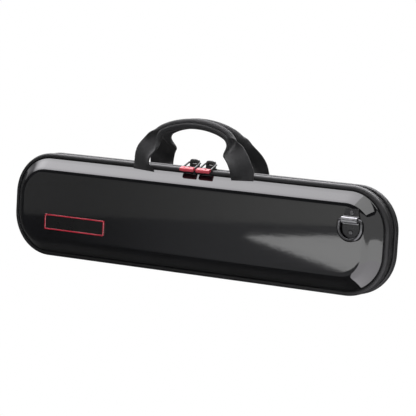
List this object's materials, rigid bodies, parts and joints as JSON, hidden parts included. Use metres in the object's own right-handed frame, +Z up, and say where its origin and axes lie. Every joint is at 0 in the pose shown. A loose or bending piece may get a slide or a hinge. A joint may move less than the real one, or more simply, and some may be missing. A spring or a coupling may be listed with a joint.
{
  "type": "flute case",
  "caption": "Slim hard case for a flute: two pressed shells on padded rims, closed by a two-slider zip, with folded webbing handles and a strap ring on each half.",
  "frame": {"origin": "middle of the hinge edge that the case stands on, in the plane of the zip", "axes": "+X along the length towards the lid's strap ring, +Y from the lid side to the base side, +Z up to the zip and the handles"},
  "size_m": [0.44, 0.0672, 0.1566],
  "materials": {
    "shell": "gloss",
    "frame_board": "matte",
    "welt": "matte",
    "zip_tape": "matte",
    "zip_coil": "satin",
    "zip_stop": "satin",
    "ring_plate": "satin",
    "ring_bracket": "polished",
    "strap_ring": "gloss",
    "rivet": "gloss",
    "webbing": "matte",
    "foam": "matte",
    "plush": "matte",
    "badge_field": "gloss",
    "badge_rim": "gloss",
    "slider_metal": "gloss",
    "grip_rubber": "satin"
  },
  "bodies": {
    "base": {"base_shell": "shell", "base_frame": "frame_board", "base_welt": "welt", "base_zip_tape": "zip_tape", "base_zip_coil": "zip_coil", "base_zip_stops": "zip_stop", "base_ring_plate": "ring_plate", "base_ring_bracket": "ring_bracket", "base_ring_rivets": "rivet", "base_handle_tabs": "webbing", "hinge_fabric": "zip_tape", "base_foam": "foam", "flute_tray": "plush"},
    "lid": {"lid_shell": "shell", "lid_frame": "frame_board", "lid_welt": "welt", "lid_zip_tape": "zip_tape", "lid_zip_coil": "zip_coil", "lid_zip_stops": "zip_stop", "lid_ring_plate": "ring_plate", "lid_ring_bracket": "ring_bracket", "lid_ring_rivets": "rivet", "lid_handle_tabs": "webbing", "lid_foam": "foam", "lid_pad": "plush", "badge_plate": "badge_field", "badge_rim": "badge_rim"},
    "lid_carry_handle": {"lid_handle": "webbing"},
    "base_carry_handle": {"base_handle": "webbing"},
    "left_zip_slider": {"left_slider": "slider_metal"},
    "right_zip_slider": {"right_slider": "slider_metal"},
    "left_pull": {"left_pull_frame": "slider_metal", "left_pull_grip": "grip_rubber"},
    "right_pull": {"right_pull_frame": "slider_metal", "right_pull_grip": "grip_rubber"},
    "lid_ring": {"lid_strap_ring": "strap_ring"},
    "base_ring": {"base_strap_ring": "strap_ring"}
  },
  "joints": [
    {"name": "lid_hinge", "type": "hinge", "parent": "base", "child": "lid", "pos_m": [0, 0, -0.0002], "axis": [1, 0, 0], "range_deg": [0, 180], "deforming": ["hinge_fabric"]},
    {"name": "lid_handle_fold", "type": "hinge", "parent": "lid", "child": "lid_carry_handle", "pos_m": [0, -0.0146, 0.1046], "axis": [1, 0, 0], "range_deg": [0, 130]},
    {"name": "base_handle_fold", "type": "hinge", "parent": "base", "child": "base_carry_handle", "pos_m": [0, 0.0146, 0.1046], "axis": [-1, 0, 0], "range_deg": [0, 130]},
    {"name": "left_slide", "type": "slide", "parent": "base", "child": "left_zip_slider", "axis": [-1, 0, 0], "range_m": [0, 0.16], "deforming": ["left_pull_grip"]},
    {"name": "right_slide", "type": "slide", "parent": "base", "child": "right_zip_slider", "axis": [1, 0, 0], "range_m": [0, 0.157], "deforming": ["right_pull_grip"]},
    {"name": "left_pull_swing", "type": "hinge", "parent": "left_zip_slider", "child": "left_pull", "pos_m": [-0.0076, 0, 0.1133], "axis": [-1, 0, 0], "range_deg": [0, 220]},
    {"name": "right_pull_swing", "type": "hinge", "parent": "right_zip_slider", "child": "right_pull", "pos_m": [0.0114, 0, 0.1133], "axis": [-1, 0, 0], "range_deg": [0, 220]},
    {"name": "lid_ring_swing", "type": "hinge", "parent": "lid", "child": "lid_ring", "pos_m": [0.187, -0.0304, 0.0766], "axis": [-1, 0, 0], "range_deg": [0, 175]},
    {"name": "base_ring_swing", "type": "hinge", "parent": "base", "child": "base_ring", "pos_m": [-0.187, 0.0304, 0.0766], "axis": [1, 0, 0], "range_deg": [0, 175]}
  ]
}
